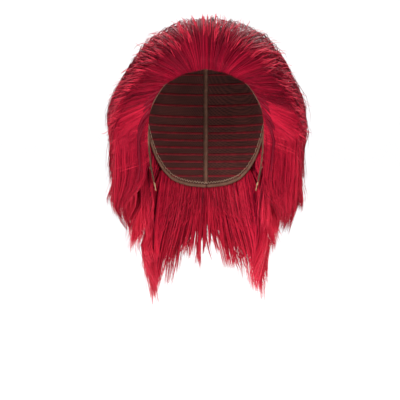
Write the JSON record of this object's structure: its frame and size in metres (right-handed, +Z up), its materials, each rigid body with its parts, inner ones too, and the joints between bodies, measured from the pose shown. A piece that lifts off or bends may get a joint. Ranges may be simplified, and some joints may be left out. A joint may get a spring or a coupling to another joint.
{
  "type": "spiky layered wig",
  "caption": "Red slicked-back wig with layers of spiky tapered locks and long nape tails, on a hollow stretch net cap that is open at the face and neck.",
  "frame": {"origin": "the inside of the cap's crown, where it rests on the top of the wearer's head", "axes": "+Z up, -Y the way the wearer's face looks, +X the wearer's left, which is the right side of the wig seen from the front"},
  "size_m": [0.2564, 0.2281, 0.3599],
  "materials": {
    "hair": "heat-resistant synthetic fibre, deep crimson with darker roots and lighter tips, soft sheen",
    "cap_net": "dark brown stretch net with sewn weft rows, matte",
    "tape": "beige woven tape and plain plastic of the same colour, matte",
    "elastic": "tan ribbed elastic, matte"
  },
  "bodies": {
    "root": {"cap": "cap_net", "ear_tab_left": "tape", "ear_tab_right": "tape", "nape_strap_left": "elastic", "nape_strap_right": "elastic", "strap_hook_left": "tape", "strap_hook_right": "tape", "hair_front": "hair", "side_lock_left": "hair", "side_lock_right": "hair", "hair_crown": "hair", "hair_upper": "hair", "hair_middle": "hair", "hair_lower": "hair", "hair_nape": "hair"}
  },
  "joints": []
}
